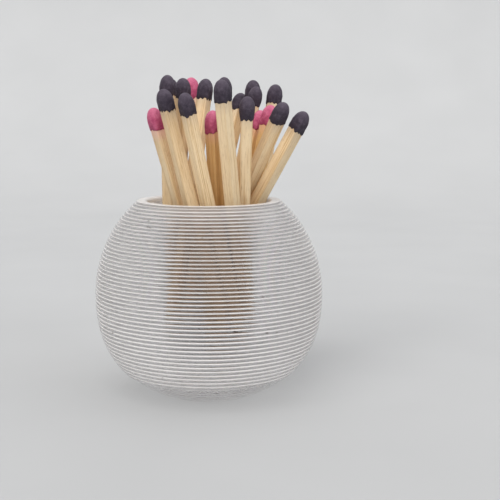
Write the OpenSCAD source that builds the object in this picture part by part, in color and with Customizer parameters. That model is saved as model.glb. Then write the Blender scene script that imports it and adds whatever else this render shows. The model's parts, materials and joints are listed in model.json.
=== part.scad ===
// Match striker: a ribbed globe of clear glass with wooden matches standing in its well.
// Millimetres, +Z up, origin at the centre of the flat base.

/* [Globe] */
// Largest diameter, over the ribs
globe_d = 50; // [46:1:60]
// Height from the table to the flat rim
globe_h = 43; // [40:0.5:48]
// Height of the widest rib above the table
waist_z = 22.4; // [20:0.2:25]
// Outside diameter at the top rib
rim_d = 31.6; // [31:0.2:36]
// Diameter of the flat ground base
base_d = 20; // [16:0.5:26]
// Fullness of the lower half, 2 for an ellipse
lower_fullness = 2.3; // [2:0.1:3]

/* [Ribs] */
// Number of ribs from the rim to the lowest one
rib_count = 47; // [24:1:50]
// Height of the top rib's crest below the rim
rim_bevel = 0.1; // [0.05:0.05:0.15]
// Height of the lowest rib's crest above the table
rib_low_z = 5.4; // [4:0.2:9]
// Height between ribs at the bottom, as a multiple of that at the top
rib_spread = 1.6; // [1:0.1:2]
// Crest radius as a share of the distance between ribs
rib_roundness = 0.58; // [0.54:0.02:0.8]

/* [Well] */
// Diameter of the mouth inside the rim
mouth_d = 27; // [26:0.2:28]
// Radius of the mouth's polished inner edge
mouth_round = 0.6; // [0.3:0.1:1]
// Depth of the well from the rim to the lowest point of its floor
well_depth = 31.6; // [29:0.2:33]
// Radius of the rounded floor
floor_r = 10.4; // [9.8:0.1:11.4]

/* [Matches] */
// Length of a match, with its head
match_l = 51; // [46:0.5:56]
// Width of the square splint
match_w = 2.5; // [2.2:0.1:2.8]
// Rounding of the splint's long edges
splint_round = 0.15; // [0.05:0.05:0.4]
// Diameter of the head
head_d = 3.7; // [3.4:0.1:4]
// Length of the head
head_l = 5; // [4.4:0.1:6]
// Thickness of the head's coat on the faces of the splint
coat = 0.15; // [0.1:0.05:0.3]
// Length of splint inside the head
dip = 2.4; // [1.5:0.1:3]

/* [Bundle] */
// Free space between the matches and the mouth
mouth_gap = 0.2; // [0.1:0.05:0.5]
// Free space between each foot and the floor
foot_gap = 0.1; // [0.05:0.05:0.3]

/* [Hidden] */
globe_r = globe_d / 2;
rim_r = rim_d / 2;
base_r = base_d / 2;
mouth_r = mouth_d / 2;
head_r = head_d / 2;
floor_z = globe_h - well_depth;
fine = 96;
underside_steps = 12;
above = 5;

// Height of each rib's crest: the spacing grows evenly from the rim to the bottom
rib_top_z = globe_h - rim_bevel;
first_step = 2 / (1 + rib_spread);
function rib_z(k) =
    let (t = k / (rib_count - 1))
    rib_top_z - (rib_top_z - rib_low_z) * (first_step * t + (1 - first_step) * t * t);

// Outline over the crests: an ellipse above the waist and a fuller curve below it
upper_b = (rib_top_z - waist_z) / sqrt(1 - pow(rim_r / globe_r, 2));
lower_b = waist_z / pow(1 - pow(base_r / globe_r, lower_fullness), 1 / lower_fullness);
function crest_r(z) =
    z > waist_z
    ? globe_r * sqrt(1 - pow((z - waist_z) / upper_b, 2))
    : globe_r * pow(1 - pow((waist_z - z) / lower_b, lower_fullness), 1 / lower_fullness);
function crest(z) = [crest_r(z), z];

// Unit vector out of the outline at a height
function outward(z) =
    let (d = crest(z + 0.01) - crest(z - 0.01))
    [d[1], -d[0]] / norm(d);

// Each rib is a round bead that meets its neighbours in a groove
function rib_pitch(k) = norm(crest(rib_z(k - 0.5)) - crest(rib_z(k + 0.5)));
function rib_centre(k) =
    let (z = rib_z(k))
    crest(z) - outward(z) * rib_pitch(k) * rib_roundness;
groove_share = rib_roundness - sqrt(pow(rib_roundness, 2) - 0.25);
function groove_depth(k) = rib_pitch(k + 0.5) * groove_share;
function groove(k) =
    let (z = rib_z(k + 0.5))
    crest(z) - outward(z) * groove_depth(k);

// Half section of the solid globe, with smooth glass under the lowest rib
module outside_profile() {
    last = rib_count - 1;
    lowest = groove(last);
    inset = crest_r(lowest[1]) - lowest[0];
    underside = [
        for (j = [0 : underside_steps])
            let (z = lowest[1] * j / underside_steps)
            [crest_r(z) - inset, z]
    ];
    grooves = [for (k = [last - 1 : -1 : 0]) groove(k)];
    rim = [[rib_centre(0)[0], globe_h], [0, globe_h]];
    polygon(concat([[0, 0]], underside, grooves, rim));
    for (k = [0 : last])
        translate(rib_centre(k))
        circle(rib_pitch(k) * rib_roundness, $fn = fine);
}

// The well: a round floor, and a straight wall that meets it without a step
floor_centre_z = floor_z + floor_r;
mouth_z = globe_h - mouth_round;
to_mouth = [mouth_r, mouth_z - floor_centre_z];
wall_angle = atan2(to_mouth[1], to_mouth[0]) - acos(floor_r / norm(to_mouth));
wall_low = [floor_r * cos(wall_angle), floor_centre_z + floor_r * sin(wall_angle)];

module well_profile() {
    intersection() {
        translate([0, floor_centre_z]) circle(floor_r, $fn = fine);
        square([globe_r, globe_h]);
    }
    polygon([
        [0, floor_z + floor_r / 2],
        wall_low,
        [mouth_r, mouth_z],
        [mouth_r, globe_h + above],
        [0, globe_h + above]
    ]);
    difference() {
        translate([mouth_r / 2, mouth_z])
        square([mouth_r / 2 + mouth_round, mouth_round + above]);
        translate([mouth_r + mouth_round, mouth_z]) circle(mouth_round, $fn = fine);
    }
}

module glass_globe() {
    color([0.86, 0.89, 0.88, 0.4])
    rotate_extrude($fn = fine)
    difference() {
        outside_profile();
        well_profile();
        translate([0, globe_h]) square([globe_r, above]);
    }
}

// Section of a splint, or of the coat round it
module rounded_square(w, r) {
    square([w - 2 * r, w], center = true);
    square([w, w - 2 * r], center = true);
    for (x = [-1, 1], y = [-1, 1])
        translate([x, y] * (w / 2 - r))
        circle(r, $fn = fine);
}

// Head outline: half an ellipse over a curve that narrows to the splint
head_steps = 10;
waist_of_head = dip - 0.2;
neck_r = match_w / 2;
head_outline = concat(
    [[0, 0]],
    [
        for (j = [0 : head_steps / 2])
            let (t = 1 - 2 * j / head_steps)
            [head_r - (head_r - neck_r) * t * t, waist_of_head * (1 - t)]
    ],
    [
        for (j = [1 : head_steps])
            let (a = 90 * j / head_steps)
            [head_r * cos(a), waist_of_head + (head_l - waist_of_head) * sin(a)]
    ]
);

// Each match: its foot's place as shares of the floor's reach, x and y, then its place
// in the mouth as shares of the mouth's reach, its turn in degrees, how far its
// neighbours hold it up off the floor along its length, and its head
MATCHES = [
    [0.22, -0.53, -0.52, -0.67, 35, 0, "pink"],
    [0.28, -0.85, -0.31, -0.91, 30, 0, "dark"],
    [-0.94, -0.08, -0.72, -0.21, 60, 0, "dark"],
    [-0.78, 0.55, -0.67, 0.62, 65, 0, "dark"],
    [-0.92, 0.27, -0.58, 0.13, 65, 0, "dark"],
    [0.02, 0.98, -0.17, 0.80, 5, 0, "pink"],
    [0.60, -0.66, 0.01, -0.97, 30, 0, "dark"],
    [-0.82, -0.52, -0.33, -0.03, 65, 0, "dark"],
    [0.32, -0.09, 0.16, -0.61, 50, 0, "pink"],
    [0.85, -0.51, 0.46, -0.91, 50, 0, "dark"],
    [0.44, 0.89, 0.30, 0.98, 60, 0, "dark"],
    [-0.54, -0.75, 0.13, 0.38, 45, 4, "dark"],
    [0.82, 0.00, 0.68, -0.65, 0, 0, "dark"],
    [0.68, 0.67, 0.68, 0.74, 55, 0, "dark"],
    [-0.02, 0.67, 0.49, 0.52, 5, 3, "dark"],
    [0.86, 0.35, 0.97, 0.38, 25, 0, "dark"],
    [-0.50, 0.78, 0.60, -0.17, 30, 3, "dark"],
    [-0.57, 0.39, 0.88, -0.32, 45, 5, "dark"],
    [0.05, 0.33, 0.63, 0.25, 30, 0, "pink"],
    [0.44, 0.21, 0.84, 0.03, 50, 0, "pink"]
];
function number(i) = str(i < 9 ? "0" : "", i + 1);
function splint_name(i) = str("match_", number(i), "_splint");
function head_name(i) = str("match_", number(i), "_head");

// Where a match stands, and the turns that lean it to its place at the mouth
foot_reach = floor_r - 0.7 * match_w;
mouth_reach = mouth_r - mouth_gap - 0.7 * match_w;
function foot_xy(m) = foot_reach * [m[0], m[1]];
function mouth_xy(m) = mouth_reach * [m[2], m[3]];
function floor_at(r) = floor_centre_z - sqrt(max(0, pow(floor_r - foot_gap, 2) - r * r));
function lean_vector(m) =
    let (run = mouth_xy(m) - foot_xy(m), low = floor_at(norm(foot_xy(m)) + match_w / 2))
    [run[0], run[1], globe_h - low];
function lean_way(m) = atan2(lean_vector(m)[1], lean_vector(m)[0]);
function lean(m) = acos(lean_vector(m)[2] / norm(lean_vector(m)));

// A corner of the foot, measured from its centre, after the match is leaned
function corner(m, x, y) =
    let (
        way = lean_way(m),
        a = m[4] - way,
        u = (x * cos(a) - y * sin(a)) * match_w / 2,
        v = (x * sin(a) + y * cos(a)) * match_w / 2,
        along = u * cos(lean(m))
    )
    [along * cos(way) - v * sin(way), along * sin(way) + v * cos(way), -u * sin(lean(m))];
function foot_z(m) =
    max([
        for (x = [-1, 1], y = [-1, 1])
            let (c = corner(m, x, y))
            floor_at(norm(foot_xy(m) + [c[0], c[1]])) - c[2]
    ]);

module stand(m) {
    translate([foot_xy(m)[0], foot_xy(m)[1], foot_z(m)])
    rotate([0, 0, lean_way(m)])
    rotate([0, lean(m), 0])
    rotate([0, 0, m[4] - lean_way(m)])
    translate([0, 0, m[5]])
    children();
}

module splint(m) {
    color([0.91, 0.82, 0.65])
    stand(m)
    linear_extrude(match_l - head_l + dip)
    rounded_square(match_w, splint_round);
}

module head(m) {
    color(m[6] == "pink" ? [0.78, 0.25, 0.42] : [0.26, 0.24, 0.3])
    stand(m)
    translate([0, 0, match_l - head_l])
    difference() {
        union() {
            rotate_extrude($fn = fine) polygon(head_outline);
            linear_extrude(dip) rounded_square(match_w + 2 * coat, splint_round + coat);
        }
        translate([0, 0, -above])
        linear_extrude(above + dip)
        rounded_square(match_w, splint_round);
    }
}

glass_globe();
for (i = [0 : len(MATCHES) - 1]) {
    splint(MATCHES[i]);
    head(MATCHES[i]);
}
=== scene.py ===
# Match striker: the finish of each piece, the stage, the light and the camera.
# The row frame, +Z up with the viewer on the -Y side. Lengths here are in millimetres.
import json
import math

import bpy
import numpy as np
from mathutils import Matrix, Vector


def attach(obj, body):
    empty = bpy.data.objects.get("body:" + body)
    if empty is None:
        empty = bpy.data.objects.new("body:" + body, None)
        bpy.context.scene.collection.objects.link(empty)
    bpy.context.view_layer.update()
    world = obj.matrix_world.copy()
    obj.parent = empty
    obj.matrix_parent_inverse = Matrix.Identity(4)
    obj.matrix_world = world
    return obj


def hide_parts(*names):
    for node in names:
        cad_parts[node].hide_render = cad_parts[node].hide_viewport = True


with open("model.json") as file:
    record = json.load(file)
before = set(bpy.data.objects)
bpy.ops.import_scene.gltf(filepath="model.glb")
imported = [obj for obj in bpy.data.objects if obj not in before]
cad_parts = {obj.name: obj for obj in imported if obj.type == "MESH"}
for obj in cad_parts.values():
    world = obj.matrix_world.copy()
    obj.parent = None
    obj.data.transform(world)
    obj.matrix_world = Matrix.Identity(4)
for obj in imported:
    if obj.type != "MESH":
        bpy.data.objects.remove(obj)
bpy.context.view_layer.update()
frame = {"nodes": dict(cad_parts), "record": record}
MM = 0.001


# Meshes
def make_object(name, points, faces, material, layers=None, creased=()):
    """A smooth mesh object. Layers holds values by name, and creased the points of sharp edges."""
    mesh = bpy.data.meshes.new(name)
    mesh.from_pydata([tuple(p * MM) for p in np.asarray(points, float)], [], faces)
    mesh.validate()
    mesh.update()
    for key, values in (layers or {}).items():
        values = np.asarray(values, np.float32)
        kind, field = ("FLOAT", "value") if values.ndim == 1 else ("FLOAT_VECTOR", "vector")
        layer = mesh.attributes.new(key, kind, "POINT")
        layer.data.foreach_set(field, values.ravel())
    mesh.polygons.foreach_set("use_smooth", [True] * len(mesh.polygons))
    if len(creased):
        sharp = np.isin([e.vertices[:] for e in mesh.edges], list(creased)).all(1)
        mesh.attributes.new("sharp_edge", "BOOLEAN", "EDGE").data.foreach_set("value", sharp)
    mesh.materials.append(material)
    obj = bpy.data.objects.new(name, mesh)
    bpy.context.scene.collection.objects.link(obj)
    return obj


def tube(rings):
    """Points and faces of a tube through rings that all have the same number of points."""
    n = len(rings[0])
    points = [p for ring in rings for p in ring]
    faces = []
    for k in range(len(rings) - 1):
        for i in range(n):
            j = (i + 1) % n
            faces.append((k * n + i, k * n + j, (k + 1) * n + j, (k + 1) * n + i))
    return points, faces


def wave(angle, rng, terms, lowest):
    """A smooth random curve round a circle, mostly within -1 to 1."""
    total = np.zeros_like(angle)
    for k in range(lowest, lowest + terms):
        total += rng.normal(0, 1) * np.sin(k * angle + rng.uniform(0, 2 * math.pi))
    return total / math.sqrt(terms)


# Materials
def fill_ramp(node, stops):
    """Puts the stops, each a position and a colour, on a colour ramp."""
    elements = node.color_ramp.elements
    while len(elements) < len(stops):
        elements.new(0.5)
    for element, (position, colour) in zip(elements, stops):
        element.position = position
        element.color = (*colour, 1)


class Nodes:
    """Short names for the nodes that a material needs."""

    def __init__(self, name):
        self.material = bpy.data.materials.new(name)
        self.material.use_nodes = True
        self.tree = self.material.node_tree
        self.tree.nodes.clear()
        self.output = self.tree.nodes.new("ShaderNodeOutputMaterial")

    def put(self, socket, value):
        if isinstance(value, bpy.types.NodeSocket):
            self.tree.links.new(value, socket)
        elif socket.type == "RGBA" and len(value) == 3:
            socket.default_value = (*value, 1)
        else:
            socket.default_value = value

    def math(self, operation, a, b=0.0):
        n = self.tree.nodes.new("ShaderNodeMath")
        n.operation = operation
        self.put(n.inputs[0], a)
        self.put(n.inputs[1], b)
        return n.outputs[0]

    def blend(self, a, b, share):
        """A number between a and b, with b's share given."""
        rest = self.math("MULTIPLY", a, 1 - share)
        return self.math("ADD", rest, self.math("MULTIPLY", b, share))

    def scaled(self, vector, scale):
        n = self.tree.nodes.new("ShaderNodeVectorMath")
        n.operation = "MULTIPLY"
        self.put(n.inputs[0], vector)
        n.inputs[1].default_value = scale
        return n.outputs[0]

    def distance(self, vector, point):
        n = self.tree.nodes.new("ShaderNodeVectorMath")
        n.operation = "DISTANCE"
        self.put(n.inputs[0], vector)
        n.inputs[1].default_value = point
        return n.outputs["Value"]

    def noise(self, vector, scale=1.0, detail=3.0, roughness=0.55, distortion=0.0):
        n = self.tree.nodes.new("ShaderNodeTexNoise")
        self.put(n.inputs["Vector"], vector)
        n.inputs["Scale"].default_value = scale
        n.inputs["Detail"].default_value = detail
        n.inputs["Roughness"].default_value = roughness
        n.inputs["Distortion"].default_value = distortion
        return n.outputs["Fac"]

    def ramp(self, value, stops):
        n = self.tree.nodes.new("ShaderNodeValToRGB")
        self.put(n.inputs[0], value)
        fill_ramp(n, stops)
        return n.outputs["Color"]

    def span(self, value, low, high, to_low=0.0, to_high=1.0):
        n = self.tree.nodes.new("ShaderNodeMapRange")
        n.clamp = True
        self.put(n.inputs["Value"], value)
        n.inputs["From Min"].default_value = low
        n.inputs["From Max"].default_value = high
        n.inputs["To Min"].default_value = to_low
        n.inputs["To Max"].default_value = to_high
        return n.outputs["Result"]

    def mix(self, factor, a, b):
        n = self.tree.nodes.new("ShaderNodeMix")
        n.data_type = "RGBA"
        self.put(n.inputs["Factor"], factor)
        first, second = [s for s in n.inputs if s.type == "RGBA"]
        self.put(first, a)
        self.put(second, b)
        return [s for s in n.outputs if s.type == "RGBA"][0]

    def bump(self, height, strength, distance):
        n = self.tree.nodes.new("ShaderNodeBump")
        self.put(n.inputs["Height"], height)
        n.inputs["Strength"].default_value = strength
        n.inputs["Distance"].default_value = distance * MM
        return n.outputs["Normal"]

    def layer(self, name, output="Fac"):
        n = self.tree.nodes.new("ShaderNodeAttribute")
        n.attribute_name = name
        return n.outputs[output]

    def place(self):
        """The point's place in the row frame, in millimetres."""
        n = self.tree.nodes.new("ShaderNodeTexCoord")
        return self.scaled(n.outputs["Object"], (1 / MM, 1 / MM, 1 / MM))

    def surface(self, colour, roughness, specular, normal):
        """A plain glossy surface on the output."""
        n = self.tree.nodes.new("ShaderNodeBsdfPrincipled")
        self.put(n.inputs["Base Color"], colour)
        self.put(n.inputs["Roughness"], roughness)
        n.inputs["Specular IOR Level"].default_value = specular
        if normal is not None:
            self.put(n.inputs["Normal"], normal)
        self.put(self.output.inputs["Surface"], n.outputs[0])
        return n


def wood_material(name, tones, stain, strength):
    """Sawn aspen: long streaks and short pores, paler edges, stained next to the head."""
    pale, tan, deep = tones
    m = Nodes(name)
    grain = m.layer("grain", "Vector")
    broad = m.noise(m.scaled(grain, (0.9, 0.9, 0.03)), 1.0, 4.0, 0.6, 0.5)
    fine = m.noise(m.scaled(grain, (5.5, 5.5, 0.08)), 1.0, 4.0, 0.65, 0.2)
    pores = m.noise(m.scaled(grain, (10.0, 10.0, 0.5)), 1.0, 2.0, 0.5)
    blotch = m.noise(m.scaled(grain, (0.5, 0.5, 0.12)), 1.0, 2.0, 0.5)
    streaks = m.blend(broad, fine, 0.45)
    colour = m.ramp(streaks, [(0.30, deep), (0.41, tan), (0.51, pale), (0.75, pale)])
    darker = m.math("ADD", blotch, m.layer("tone"))
    colour = m.mix(m.span(darker, 0.50, 1.0, 0.0, 0.7), colour, tan)
    colour = m.mix(m.span(pores, 0.58, 0.70, 0.0, 0.5), colour, deep)
    colour = m.mix(m.span(m.layer("edge"), 0.4, 1.0, 0.0, 0.45), colour, tan)
    reach = m.math("ADD", m.layer("below_head"), m.math("MULTIPLY", fine, -2.5))
    colour = m.mix(m.span(reach, -1.2, 1.0, strength, 0.0), colour, stain)
    normal = m.bump(m.blend(fine, pores, 0.3), 0.5, 0.1)
    m.surface(colour, m.span(fine, 0.3, 0.7, 0.56, 0.74), 0.3, normal)
    return m.material


def head_material(name, base, light, dark):
    """Matt dipped composition: a fine grain, pale dust and small pits, with painted shade on its
    lower part and painted light towards the tip.
    """
    m = Nodes(name)
    grain = m.layer("grain", "Vector")
    mottle = m.noise(grain, 1.1, 4.0, 0.6)
    grit = m.noise(grain, 8.0, 3.0, 0.7)
    dust = m.noise(grain, 15.0, 1.0, 0.5)
    colour = m.ramp(m.blend(mottle, grit, 0.45), [(0.32, dark), (0.5, base), (0.68, light)])
    # Painted shade and light: the deep tone low on the head, the light tone towards the tip
    painted_light_height = m.math("ADD", m.layer("up"), m.math("MULTIPLY", mottle, 0.5))
    colour = m.mix(m.span(painted_light_height, 0.3, 0.75, 0.6, 0.0), colour, dark)
    colour = m.mix(m.span(painted_light_height, 0.75, 1.3, 0.0, 0.75), colour, light)
    dusty = tuple(min(1.0, 1.8 * c + 0.02) for c in light)
    colour = m.mix(m.span(dust, 0.68, 0.78, 0.0, 0.5), colour, dusty)
    normal = m.bump(m.blend(grit, m.noise(grain, 3.0, 2.0, 0.5), 0.5), 0.5, 0.2)
    m.surface(colour, m.span(grit, 0.3, 0.7, 0.6, 0.8), 0.35, normal)
    return m.material


# Cloudiness: the least and most of it in a groove, and its share from groove to groove over
# a rib, on the foot, at the rim's edge, on the rim, and below the rim inside the mouth
CLOUD_LOW, CLOUD_HIGH = 0.72, 0.86
RIB_CLOUD = [1, 0.85, 0.2, 0.02, 0, 0.02, 0.2, 0.85, 1]
FOOT_CLOUD, EDGE_CLOUD, RIM_CLOUD, MOUTH_CLOUD, BASE_CLOUD = 0.03, 0.7, 0.8, [0.35, 0.1], 0.2

# Tints: clear glass at its darkest and lightest, cloudy glass, and soot
CLEAR_DARK, CLEAR_LIGHT = (0.53, 0.522, 0.532), (0.61, 0.602, 0.612)
CLOUDY, SOOT = (0.92, 0.894, 0.882), (0.10, 0.08, 0.07)

# What passes of the light that reaches the matches, at the outside, and at the well a dark brown
# tint that is painted shade and painted orange bounce light on the matches inside
PASS_OUTSIDE, WELL_PAINTED_SHADE = (0.88, 0.88, 0.88), (0.38, 0.285, 0.20)

# A mark is this many times as wide as it is high
MARK_FLATNESS = 1.6

# Dark strike marks on the ribs: azimuth in degrees, height, and half width
MARKS = [
    (-76.0, 18.7, 0.45), (-75.0, 18.6, 0.30), (-73.2, 18.6, 0.35), (-59.8, 17.9, 0.35),
    (-144.1, 16.4, 0.35), (-148.7, 41.4, 0.30), (-129.9, 39.9, 0.35), (-134.0, 40.2, 0.25),
    (-128.0, 38.8, 0.30), (-126.0, 38.7, 0.30), (-118.0, 41.2, 0.25), (-62.1, 25.4, 0.35),
    (-104.2, 6.0, 0.35), (-151.0, 17.6, 0.30), (-54.1, 17.6, 0.30),
]


def glass_material(name):
    """Thick pressed glass, cloudy in the grooves of its ribs, with dark strike marks and specks;
    light through its well is darkened and tinted brown as painted shade on the matches.
    """
    m = Nodes(name)
    place = m.place()
    smear = m.noise(m.scaled(place, (0.16, 0.16, 0.3)), 1.0, 3.0, 0.6)
    dashes = m.noise(m.scaled(place, (1.1, 1.1, 2.6)), 1.0, 1.0, 0.4)
    patch = m.noise(m.scaled(place, (0.09, 0.09, 0.12)), 1.0, 1.0, 0.5)
    soot = m.math("MULTIPLY", m.span(dashes, 0.765, 0.79), m.span(patch, 0.48, 0.58))
    flat = m.scaled(place, (1, 1, MARK_FLATNESS))
    for azimuth, height, half in MARKS:
        turn, r = math.radians(azimuth), crest_r(height)
        spot = (r * math.cos(turn), r * math.sin(turn), MARK_FLATNESS * height)
        mark = m.span(m.distance(flat, spot), 0.7 * half, 1.1 * half, 1.0, 0.0)
        soot = m.math("MAXIMUM", soot, mark)
    clear = m.ramp(smear, [(0.35, CLEAR_DARK), (0.65, CLEAR_LIGHT)])
    scuffs = m.noise(m.scaled(place, (0.25, 0.25, 1.2)), 1.0, 3.0, 0.6)
    worn = m.math("MULTIPLY", m.layer("worn"), m.span(scuffs, 0.3, 0.7, CLOUD_LOW, CLOUD_HIGH))
    tone = m.mix(m.span(worn, 0.0, 0.4), clear, CLOUDY)
    body = m.tree.nodes.new("ShaderNodeBsdfPrincipled")
    m.put(body.inputs["Base Color"], m.mix(soot, tone, SOOT))
    m.put(body.inputs["Roughness"], m.span(worn, 0.0, 0.6, 0.02, 0.3))
    body.inputs["IOR"].default_value = 1.5
    m.put(body.inputs["Transmission Weight"], m.math("SUBTRACT", 0.99, worn))
    m.put(body.inputs["Normal"], m.bump(m.noise(place, 0.35, 2.0, 0.5), 0.03, 0.1))
    # Lamp and bounce light passes the glass; through the well it is darkened and tinted brown,
    # painted shade and painted orange bounce light on the matches
    passing_and_painted_shade = m.tree.nodes.new("ShaderNodeBsdfTransparent")
    m.put(passing_and_painted_shade.inputs["Color"], m.mix(m.layer("inner"), PASS_OUTSIDE, WELL_PAINTED_SHADE))
    path = m.tree.nodes.new("ShaderNodeLightPath")
    lighting = m.math("MAXIMUM", path.outputs["Is Shadow Ray"], path.outputs["Is Diffuse Ray"])
    both = m.tree.nodes.new("ShaderNodeMixShader")
    m.put(both.inputs[0], lighting)
    m.put(both.inputs[1], body.outputs[0])
    m.put(both.inputs[2], passing_and_painted_shade.outputs[0])
    m.put(m.output.inputs["Surface"], both.outputs[0])
    return m.material


# The glass globe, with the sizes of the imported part
GLOBE_R, GLOBE_H, WAIST_Z = 25.0, 43.0, 22.4
RIM_R, BASE_R, FULLNESS = 15.8, 10.0, 2.3
RIBS, TOP_Z, LOW_Z, SPREAD, ROUNDNESS = 47, 42.9, 5.4, 1.6, 0.58
MOUTH_R, MOUTH_ROUND, FLOOR_Z, FLOOR_R = 13.5, 0.6, 11.4, 10.4
FIRST = 2 / (1 + SPREAD)
UPPER_B = (TOP_Z - WAIST_Z) / math.sqrt(1 - (RIM_R / GLOBE_R) ** 2)
LOWER_B = WAIST_Z / (1 - (BASE_R / GLOBE_R) ** FULLNESS) ** (1 / FULLNESS)
GROOVE_SHARE = ROUNDNESS - math.sqrt(ROUNDNESS ** 2 - 0.25)
GLOBE_SEGMENTS = 224
RIB_STEPS, FOOT_STEPS, ROUND_STEPS, WALL_STEPS, FLOOR_STEPS = 9, 10, 9, 9, 26

# Rings on the flat base and rim, the base's narrow bevel, and the small ring round each pole
BASE_RINGS, RIM_RINGS = (4.0, 8.0), (15.3, 14.7)
BASE_BEVEL, BASE_BEVEL_Z, POLE_R = 0.25, 0.18, 0.01

# Angle at which the top rib meets the flat rim, in radians
RIM_TURN = 1.2

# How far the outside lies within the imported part's, and how far it wavers
SHRINK, WAVER = 0.010, 0.0006

# Chips along the lowest rib: how far below its crest, how high, and for each chip its azimuth
# in degrees, its depth, and its half width in degrees
CHIP_DROP, CHIP_REACH = 0.3, 0.75
CHIPS = [
    (-118, 0.22, 2.0), (-111, 0.30, 1.7), (-104, 0.16, 2.3), (-97, 0.35, 1.7), (-88, 0.20, 2.9),
    (-80, 0.30, 1.7), (-74, 0.18, 2.0), (-66, 0.28, 1.7), (-55, 0.20, 2.3), (-43, 0.30, 1.7),
    (-20, 0.20, 2.9), (15, 0.25, 2.3), (60, 0.20, 2.9), (110, 0.30, 2.3), (160, 0.20, 2.9),
    (205, 0.30, 2.3), (222, 0.20, 1.7), (234, 0.26, 1.7),
]


def crest_r(z):
    if z > WAIST_Z:
        return GLOBE_R * math.sqrt(1 - ((z - WAIST_Z) / UPPER_B) ** 2)
    return GLOBE_R * (1 - ((WAIST_Z - z) / LOWER_B) ** FULLNESS) ** (1 / FULLNESS)


def crest(z):
    return np.array([crest_r(z), z])


def rib_z(k):
    t = k / (RIBS - 1)
    return TOP_Z - (TOP_Z - LOW_Z) * (FIRST * t + (1 - FIRST) * t * t)


def outward(z):
    d = crest(z + 0.01) - crest(z - 0.01)
    d = d / np.linalg.norm(d)
    return np.array([d[1], -d[0]])


def rib_pitch(k):
    return np.linalg.norm(crest(rib_z(k - 0.5)) - crest(rib_z(k + 0.5)))


def groove(k):
    z = rib_z(k + 0.5)
    return crest(z) - outward(z) * rib_pitch(k + 0.5) * GROOVE_SHARE


def rib_arc(k):
    """Points over one rib, from its lower groove to its upper one."""
    z = rib_z(k)
    radius = rib_pitch(k) * ROUNDNESS
    centre = crest(z) - outward(z) * radius
    low = groove(k) - centre
    rim = radius * np.array([math.cos(RIM_TURN), math.sin(RIM_TURN)])
    high = groove(k - 1) - centre if k else rim
    turns = np.linspace(math.atan2(low[1], low[0]), math.atan2(high[1], high[0]), RIB_STEPS)
    arc = [centre + radius * np.array([math.cos(a), math.sin(a)]) for a in turns]
    return [np.array([r, min(z, GLOBE_H)]) for r, z in arc]


def outside_profile():
    """From the base's centre up the ribs to the rim's edge."""
    last = groove(RIBS - 1)
    inset = crest_r(last[1]) - last[0]
    points = [np.array([r, 0.0]) for r in (POLE_R, *BASE_RINGS)]
    points.append(np.array([crest_r(0.0) - inset - BASE_BEVEL, 0.0]))
    for z in np.linspace(BASE_BEVEL_Z, last[1], FOOT_STEPS)[:-1]:
        points.append(np.array([crest_r(z) - inset, z]))
    for k in range(RIBS - 1, 0, -1):
        points += rib_arc(k)[:-1]
    return points + rib_arc(0)


def well_profile():
    """From the rim's flat top over the mouth's round edge and down the well."""
    mouth_z = GLOBE_H - MOUTH_ROUND
    points = [np.array([r, GLOBE_H]) for r in RIM_RINGS]
    for a in np.radians(np.linspace(90, 180, ROUND_STEPS)):
        step = MOUTH_ROUND * np.array([1 + math.cos(a), math.sin(a)])
        points.append(np.array([MOUTH_R, mouth_z]) + step)
    centre_z = FLOOR_Z + FLOOR_R
    to_mouth = np.array([MOUTH_R, mouth_z - centre_z])
    wall = math.atan2(to_mouth[1], to_mouth[0]) - math.acos(FLOOR_R / np.linalg.norm(to_mouth))
    top = points[-1]
    low = np.array([FLOOR_R * math.cos(wall), centre_z + FLOOR_R * math.sin(wall)])
    points += [top + (low - top) * t for t in np.linspace(0, 1, WALL_STEPS)[1:]]
    for a in np.linspace(wall, -math.pi / 2, FLOOR_STEPS)[1:]:
        r = max(POLE_R, FLOOR_R * math.cos(a))
        points.append(np.array([r, centre_z + FLOOR_R * math.sin(a)]))
    return points


def turn_from(angle, degrees):
    """How far each angle lies from a place given in degrees."""
    return np.abs((angle - math.radians(degrees) + math.pi) % (2 * math.pi) - math.pi)


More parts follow.
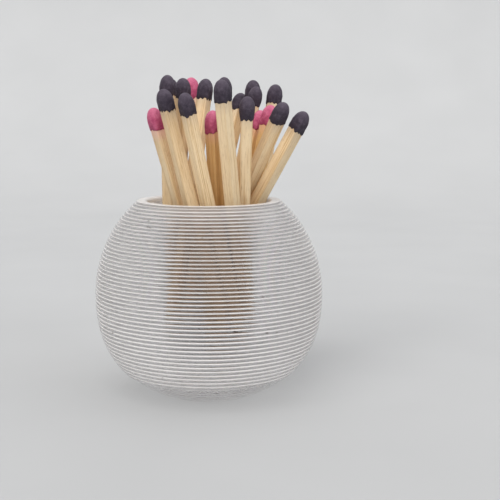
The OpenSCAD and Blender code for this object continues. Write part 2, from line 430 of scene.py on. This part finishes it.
def build_globe(material):
    """One closed skin: the base, the foot, the ribs, the rim and the well."""
    rng = np.random.default_rng(11)
    outside, well = outside_profile(), well_profile()
    profile = outside + well
    rib_step = RIB_STEPS - 1
    base_rings = len(BASE_RINGS) + 2
    foot_rings = len(outside) - RIBS * rib_step - 1
    grooves = range(foot_rings, len(outside) - 1, rib_step)
    wear = [FOOT_CLOUD] * foot_rings + RIB_CLOUD[:-1] * RIBS + [EDGE_CLOUD]
    wear += [RIM_CLOUD] * (len(RIM_RINGS) + ROUND_STEPS) + MOUTH_CLOUD
    wear += [0.0] * (len(profile) - len(wear))
    angle = np.linspace(0, 2 * math.pi, GLOBE_SEGMENTS, endpoint=False)
    lip_z = rib_z(RIBS - 1) - CHIP_DROP
    rings, worn, creased = [], [], set()
    drift = wave(angle, rng, 4, 2)
    for k, (r, z) in enumerate(profile):
        out = np.full(GLOBE_SEGMENTS, float(r))
        if base_rings <= k < len(outside):
            drift = 0.8 * drift + 0.6 * wave(angle, rng, 5, 3)
            out -= SHRINK + WAVER * np.clip(drift, -1.5, 1.5)
            near = max(0.0, 1 - abs(z - lip_z) / CHIP_REACH)
            for at, depth, half in CHIPS:
                out -= depth * near * np.clip(1 - turn_from(angle, at) / math.radians(half), 0, 1)
        if k in grooves:
            creased.update(range(k * GLOBE_SEGMENTS, (k + 1) * GLOBE_SEGMENTS))
        rings.append(np.stack([out * np.cos(angle), out * np.sin(angle), np.full_like(out, z)], 1))
        worn += [wear[k]] * GLOBE_SEGMENTS
    points, faces = tube(rings)
    base, floor = len(points), len(points) + 1
    points += [np.array([0, 0, 0.0]), np.array([0, 0, FLOOR_Z])]
    worn += [BASE_CLOUD, 0.0]
    inner = [0.0] * (len(outside) * GLOBE_SEGMENTS) + [1.0] * (len(well) * GLOBE_SEGMENTS)
    inner += [0.0, 1.0]
    top = (len(rings) - 1) * GLOBE_SEGMENTS
    for i in range(GLOBE_SEGMENTS):
        j = (i + 1) % GLOBE_SEGMENTS
        faces.append((base, j, i))
        faces.append((floor, top + i, top + j))
    layers = {"worn": worn, "inner": inner}
    return make_object("globe_glass", points, faces, material, layers, creased)


# The matches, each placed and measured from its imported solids
def solid_points(node):
    mesh = frame["nodes"][node].data
    flat = np.zeros(len(mesh.vertices) * 3)
    mesh.vertices.foreach_get("co", flat)
    return flat.reshape(-1, 3) / MM


class Stick:
    """A splint's foot, its three axes, its length and width, and its head's lower and upper end."""

    def __init__(self, splint, head):
        mesh = frame["nodes"][splint].data
        points = solid_points(splint)
        area = np.array([p.area for p in mesh.polygons])
        normal = np.array([tuple(p.normal) for p in mesh.polygons])
        _, way = np.linalg.eigh((normal * area[:, None]).T @ normal)
        self.a = way[:, 0] * (1 if way[2, 0] > 0 else -1)
        flat = normal[int(np.where(np.abs(normal @ self.a) < 0.05, area, 0).argmax())]
        x = flat - self.a * (flat @ self.a)
        self.x = x / np.linalg.norm(x)
        self.y = np.cross(self.a, self.x)
        reach = points @ np.stack([self.x, self.y, self.a], 1)
        low, high = reach.min(0), reach.max(0)
        middle = (low + high) / 2
        self.foot = self.x * middle[0] + self.y * middle[1] + self.a * low[2]
        self.length = high[2] - low[2]
        self.half = (high[0] - low[0]) / 2
        cap = (solid_points(head) - self.foot) @ np.stack([self.x, self.y, self.a], 1)
        self.head_low, self.tip = cap[:, 2].min(), cap[:, 2].max()
        self.head_r = cap[:, 0].max()

    def at(self, x, y, z):
        return self.foot + self.x * x + self.y * y + self.a * z


# A splint's rounded edges and the band of wood next to them, then its rings, its narrow foot,
# how far it may bow, how much its width varies, and the spread of its tone
SPLINT_ROUND, EDGE_BAND = 0.15, 0.28
SPLINT_RINGS, FOOT_RISE, FOOT_SIZE = 20, 0.1, 0.965
BOW, WIDTH_SPREAD, TONES = 0.03, 0.005, (-0.05, 0.35)


def square_section(half):
    """Points round a square with rounded corners, and how near each is to a corner."""
    inner = half - SPLINT_ROUND
    points, near = [], []
    for k in range(4):
        c, s = [(1, 0), (0, 1), (-1, 0), (0, -1)][k]
        corner = [(half, inner - EDGE_BAND, 0)]
        for a in np.radians((0, 45, 90)):
            x, y = inner + SPLINT_ROUND * math.cos(a), inner + SPLINT_ROUND * math.sin(a)
            corner.append((x, y, 1))
        corner.append((inner - EDGE_BAND, half, 0))
        for x, y, edge in corner:
            points.append((x * c - y * s, x * s + y * c))
            near.append(edge)
    return np.array(points), near


def build_splint(name, stick, material, seed):
    """A square splint, a little bowed and uneven, with its own piece of grain and its own tone."""
    rng = np.random.default_rng(seed)
    section, near = square_section(stick.half)
    shift = rng.uniform(-40, 40, 3)
    bow = rng.uniform(-BOW, BOW, 2)
    tone = rng.uniform(*TONES)
    heights = [0.0, FOOT_RISE] + list(np.linspace(2, stick.length, SPLINT_RINGS))
    rings, grain, edge, below = [], [], [], []
    for z in heights:
        size = FOOT_SIZE if z == 0 else 1 - abs(rng.normal(0, WIDTH_SPREAD))
        ring = section * size + bow * math.sin(math.pi * z / stick.length)
        rings.append([stick.at(x, y, z) for x, y in ring])
        grain += [(x + shift[0], y + shift[1], z + shift[2]) for x, y in ring]
        edge += near
        below += [stick.head_low - z] * len(near)
    points, faces = tube(rings)
    n = len(section)
    faces.append(tuple(range(n - 1, -1, -1)))
    faces.append(tuple((len(rings) - 1) * n + i for i in range(n)))
    layers = {"grain": grain, "edge": edge, "below_head": below, "tone": [tone] * len(points)}
    return make_object(name, points, faces, material, layers)


# A head: the thickness of its coat, and heights over its low end of its ragged edge, of how
# far that edge strays down and up, and of its widest place
HEAD_SEGMENTS = 72
COAT = 0.14
EDGE_UP, EDGE_DOWN_MOST, EDGE_UP_MOST, BELLY_UP = 0.38, -0.36, 0.5, 2.2
NECK_RINGS, CAP_RINGS, CAP_TURN = 10, 15, 86


def build_head(name, stick, material, seed):
    """A dipped head: square over the splint, round towards the tip, with an uneven lower edge."""
    rng = np.random.default_rng(seed)
    angle = np.linspace(0, 2 * math.pi, HEAD_SEGMENTS, endpoint=False)
    c, s = np.cos(angle), np.sin(angle)
    square = np.minimum(stick.half / np.maximum(np.abs(c), np.abs(s)), stick.half * 1.36)
    to_corner = np.sin(2 * angle) ** 2
    run = rng.uniform(0.05, 0.3) * np.cos(angle - rng.uniform(0, 2 * math.pi))
    ragged = 0.12 * wave(angle, rng, 6, 5) + 0.05 * rng.uniform(-1, 1, HEAD_SEGMENTS)
    for _ in range(rng.integers(1, 4)):
        drip = turn_from(angle, rng.uniform(0, 360)) / rng.uniform(0.16, 0.3)
        ragged -= rng.uniform(0.15, 0.4) * np.exp(-drip ** 2)
    edge_z = stick.head_low + EDGE_UP + np.clip(run + ragged, EDGE_DOWN_MOST, EDGE_UP_MOST)
    belly_z = stick.head_low + BELLY_UP
    tip_z = stick.tip - rng.uniform(0.02, 0.15)
    fat = stick.head_r * rng.uniform(0.955, 0.985)
    belly = fat * (1 - rng.uniform(0.08, 0.13) * (1 - to_corner))
    lean = rng.normal(0, 0.04, 2)
    phases = rng.uniform(0, 2 * math.pi, (4, 2))
    shift = rng.uniform(-30, 30, 3)
    rings, grain, up = [], [], []

    def add(radius, z):
        lump = np.zeros(HEAD_SEGMENTS)
        for k, (round_by, up_by) in enumerate(phases):
            lump += np.sin((k + 2) * angle + round_by) * np.sin(1.3 * (k + 1) * z + up_by)
        radius = np.minimum(radius * (1 + 0.006 * lump), stick.head_r - 0.004)
        bend = np.clip((z - belly_z) / 2.5, 0, 1)
        ring = list(zip(radius * c, radius * s, z, bend))
        rings.append([stick.at(x + lean[0] * b, y + lean[1] * b, h) for x, y, h, b in ring])
        grain.extend((x + shift[0], y + shift[1], h + shift[2]) for x, y, h, _ in ring)
        # Height up the head, which places its painted shade and painted light
        up.extend((z - stick.head_low) / (stick.tip - stick.head_low))

    add(square * 0.93, edge_z + 0.25)
    add(square, edge_z + 0.01)
    add(square + 0.06, edge_z + 0.01)
    add(square + COAT * 0.8, edge_z + 0.1)
    for t in np.linspace(0, 1, NECK_RINGS)[1:]:
        z = edge_z + 0.1 + (belly_z - edge_z - 0.1) * t
        swell = 1 - (1 - t) ** 1.8
        add(square + COAT + (belly - square - COAT) * swell, z)
    for a in np.radians(np.linspace(0, CAP_TURN, CAP_RINGS)[1:]):
        rounder = math.sin(a) ** 0.8
        radius = (belly * (1 - rounder) + 0.97 * fat * rounder) * math.cos(a) ** 0.96
        add(radius, np.full(HEAD_SEGMENTS, belly_z + (tip_z - belly_z) * math.sin(a)))
    points, faces = tube(rings)
    points.append(stick.at(lean[0], lean[1], tip_z))
    grain.append((shift[0], shift[1], tip_z + shift[2]))
    up.append(1.0)
    top = (len(rings) - 1) * HEAD_SEGMENTS
    for i in range(HEAD_SEGMENTS):
        faces.append((top + i, top + (i + 1) % HEAD_SEGMENTS, len(points) - 1))
    return make_object(name, points, faces, material, {"grain": grain, "up": up})


def ride_on(piece, node):
    """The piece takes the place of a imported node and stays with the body."""
    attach(piece, "root")
    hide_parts(node)


# Wood from pale to deep, a darker, more orange copy of it that is painted shade and painted orange
# bounce light for matches deep in the bundle, the stain next to a head, and heads in their base,
# light and deep tone
PALE_WOOD = (0.88, 0.70, 0.46), (0.68, 0.47, 0.25), (0.36, 0.20, 0.09)
PAINTED_SHADE_WOOD = (0.80, 0.53, 0.24), (0.65, 0.38, 0.15), (0.42, 0.22, 0.08)
SMOKE, BLUSH = (0.30, 0.24, 0.25), (0.80, 0.42, 0.42)
# A head's light tone is also its painted light at the tip, and its deep tone its painted shade low
# down
DARK_HEAD = (0.044, 0.034, 0.050), (0.105, 0.085, 0.113), (0.022, 0.016, 0.026)
PINK_HEAD = (0.48, 0.088, 0.18), (0.66, 0.20, 0.31), (0.30, 0.038, 0.10)
PAINTED_SHADE_MATCHES = {"match_09", "match_19", "match_20"}


def build_matches():
    """All matches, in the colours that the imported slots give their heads."""
    heads = {
        "dark": head_material("head_dark", *DARK_HEAD),
        "pink": head_material("head_pink", *PINK_HEAD),
    }
    woods = {
        ("pale", "dark"): wood_material("aspen_pale", PALE_WOOD, SMOKE, 0.2),
        ("pale", "pink"): wood_material("aspen_pale_pink", PALE_WOOD, BLUSH, 0.5),
        ("painted_shade", "pink"): wood_material("aspen_painted_shade_pink", PAINTED_SHADE_WOOD, BLUSH, 0.3),
    }
    slots = {s["node"]: s["material_slot"] for s in frame["record"]["subparts"]}
    stems = sorted(n[: -len("_splint")] for n in frame["nodes"] if n.endswith("_splint"))
    for i, stem in enumerate(stems):
        stick = Stick(stem + "_splint", stem + "_head")
        slot = slots[stem + "_head"]
        kind = "pink" if slot == "pink_head" else "dark"
        # The listed matches deep in the bundle get the darker, more orange wood: painted shade and
        # painted orange bounce light
        tone = "painted_shade" if stem in PAINTED_SHADE_MATCHES else "pale"
        wood = build_splint(stem + "_wood", stick, woods[tone, kind], 100 + i)
        ride_on(wood, stem + "_splint")
        tip = build_head(stem + "_tip", stick, heads[kind], 300 + i)
        ride_on(tip, stem + "_head")


# The stage
SWEEP_FRONT, SWEEP_BEND, SWEEP_BACK, SWEEP_TOP, SWEEP_SIDE = -5000, 350, 700, 560, 5000
PAPER_DARK, PAPER_LIGHT = (0.50, 0.505, 0.512), (0.52, 0.525, 0.532)

# What the camera and the glass see of the room: height from the horizon, and brightness
SKY = [(0.0, 0.60), (0.15, 0.60), (0.5, 0.95), (1.0, 1.0)]
ROOM_TINT, ROOM_LIGHT = (0.95, 0.97, 1.0, 1), 0.18


def build_stage():
    """A sheet of pale paper that runs under the globe and curves up behind it."""
    m = Nodes("paper")
    tone = m.noise(m.place(), 0.02, 2.0, 0.5)
    m.surface(m.ramp(tone, [(0.3, PAPER_DARK), (0.7, PAPER_LIGHT)]), 0.9, 0.1, None)
    bend = SWEEP_BACK - SWEEP_BEND
    line = [(SWEEP_FRONT, 0)]
    for a in np.radians(np.linspace(0, 90, 13)):
        line.append((SWEEP_BEND + bend * math.sin(a), bend * (1 - math.cos(a))))
    line.append((SWEEP_BACK, SWEEP_TOP))
    points, faces = [], []
    for y, z in line:
        points += [(-SWEEP_SIDE, y, z), (SWEEP_SIDE, y, z)]
    for k in range(len(line) - 1):
        faces.append((2 * k, 2 * k + 1, 2 * k + 3, 2 * k + 2))
    make_object("paper_sweep", points, faces, m.material)


def soft_light(name, way, strength, spread, colour=(1, 1, 1)):
    """Even light from a wide patch of the room, so that the floor has no bright middle."""
    light = bpy.data.lights.new(name, "SUN")
    light.energy = strength
    light.angle = math.radians(spread)
    light.color = colour
    obj = bpy.data.objects.new(name, light)
    bpy.context.scene.collection.objects.link(obj)
    obj.location = way
    obj.rotation_euler = (-Vector(way)).to_track_quat("-Z", "Y").to_euler()
    obj.visible_transmission = False
    obj.visible_glossy = False


def build_world():
    """Soft room light, and for the camera and the glass a room that is brightest overhead."""
    world = bpy.data.worlds.new("studio")
    bpy.context.scene.world = world
    world.use_nodes = True
    tree = world.node_tree
    tree.nodes.clear()
    output = tree.nodes.new("ShaderNodeOutputWorld")
    path = tree.nodes.new("ShaderNodeLightPath")
    seen = path.outputs["Is Camera Ray"]
    for ray in ("Is Glossy Ray", "Is Transmission Ray"):
        either = tree.nodes.new("ShaderNodeMath")
        either.operation = "MAXIMUM"
        tree.links.new(seen, either.inputs[0])
        tree.links.new(path.outputs[ray], either.inputs[1])
        seen = either.outputs[0]
    lit = tree.nodes.new("ShaderNodeBackground")
    lit.inputs["Color"].default_value = ROOM_TINT
    lit.inputs["Strength"].default_value = ROOM_LIGHT
    way = tree.nodes.new("ShaderNodeTexCoord")
    split = tree.nodes.new("ShaderNodeSeparateXYZ")
    tree.links.new(way.outputs["Generated"], split.inputs[0])
    ramp = tree.nodes.new("ShaderNodeValToRGB")
    tree.links.new(split.outputs["Z"], ramp.inputs[0])
    fill_ramp(ramp, [(height, (grey, grey, 1.01 * grey)) for height, grey in SKY])
    shown = tree.nodes.new("ShaderNodeBackground")
    tree.links.new(ramp.outputs["Color"], shown.inputs["Color"])
    shown.inputs["Strength"].default_value = 1.0
    pick = tree.nodes.new("ShaderNodeMixShader")
    tree.links.new(seen, pick.inputs[0])
    tree.links.new(lit.outputs[0], pick.inputs[1])
    tree.links.new(shown.outputs[0], pick.inputs[2])
    tree.links.new(pick.outputs[0], output.inputs["Surface"])


FOCAL_PX, FRAME_PX, SENSOR = 1073, 500, 36.0
CAMERA_AT, CAMERA_DOWN = (0.0090, -0.2342, 0.0645), 7.93


def build_camera():
    data = bpy.data.cameras.new("photo_camera")
    data.sensor_width = SENSOR
    data.lens = FOCAL_PX / FRAME_PX * SENSOR
    data.clip_start = 0.01
    data.clip_end = 20
    camera = bpy.data.objects.new("photo_camera", data)
    camera.location = CAMERA_AT
    camera.rotation_euler = (math.radians(90 - CAMERA_DOWN), 0, 0)
    bpy.context.scene.collection.objects.link(camera)
    bpy.context.scene.camera = camera
    bpy.context.scene.view_settings.view_transform = "Standard"


ride_on(build_globe(glass_material("clear_glass")), "glass_globe")
build_matches()
build_stage()
soft_light("key_light", (-0.24, -0.60, 0.60), 2.4, 50, (1.0, 0.985, 0.96))
soft_light("fill_light", (0.60, -0.35, 0.36), 1.0, 60, (0.97, 0.985, 1.0))
soft_light("top_light", (0.05, 0.15, 0.82), 1.0, 70)
build_world()
build_camera()
